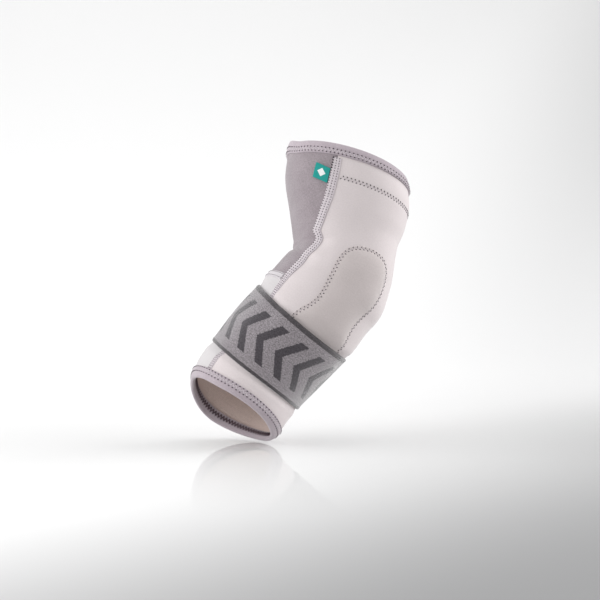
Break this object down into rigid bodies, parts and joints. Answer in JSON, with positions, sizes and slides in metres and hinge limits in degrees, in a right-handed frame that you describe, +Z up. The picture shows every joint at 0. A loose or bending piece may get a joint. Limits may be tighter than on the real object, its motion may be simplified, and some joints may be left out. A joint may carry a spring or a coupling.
{
  "type": "elbow brace",
  "caption": "Padded knit elbow sleeve for a slightly bent arm, with bound edges, taped seams, a side pad and a wide elastic forearm strap.",
  "frame": {"origin": "the middle of the elbow, on the centreline of the arm that the sleeve holds", "axes": "+Z up as the brace is shown, +X towards the point of the elbow, -Y towards the outer side of the arm; the plane of the bend holds X and leans back from the viewer, so the upper arm opening faces up and the wrist opening faces down, to -X and to -Y"},
  "size_m": [0.1779, 0.1478, 0.2359],
  "materials": {
    "light_knit": "fine light warm-grey knit, matt",
    "mauve_knit": "fine mauve-grey knit, matt",
    "white_knit": "fine off-white knit, matt",
    "tape": "soft seam tape with rows of stitches",
    "binding": "soft elastic edge binding, mauve-grey",
    "strap": "mottled mid-grey elastic webbing with dark edge stripes",
    "pad_knit": "fine light knit drawn over a soft pad",
    "label": "woven teal tab with a plain pale mark"
  },
  "bodies": {
    "root": {"back_panel": "light_knit", "crook_panel": "mauve_knit", "forearm_panel": "white_knit", "outer_seam_tape": "tape", "inner_seam_tape": "tape", "cross_seam_tape": "tape", "top_binding": "binding", "wrist_binding": "binding", "strap": "strap", "elbow_pad": "pad_knit", "label": "label"}
  },
  "joints": []
}
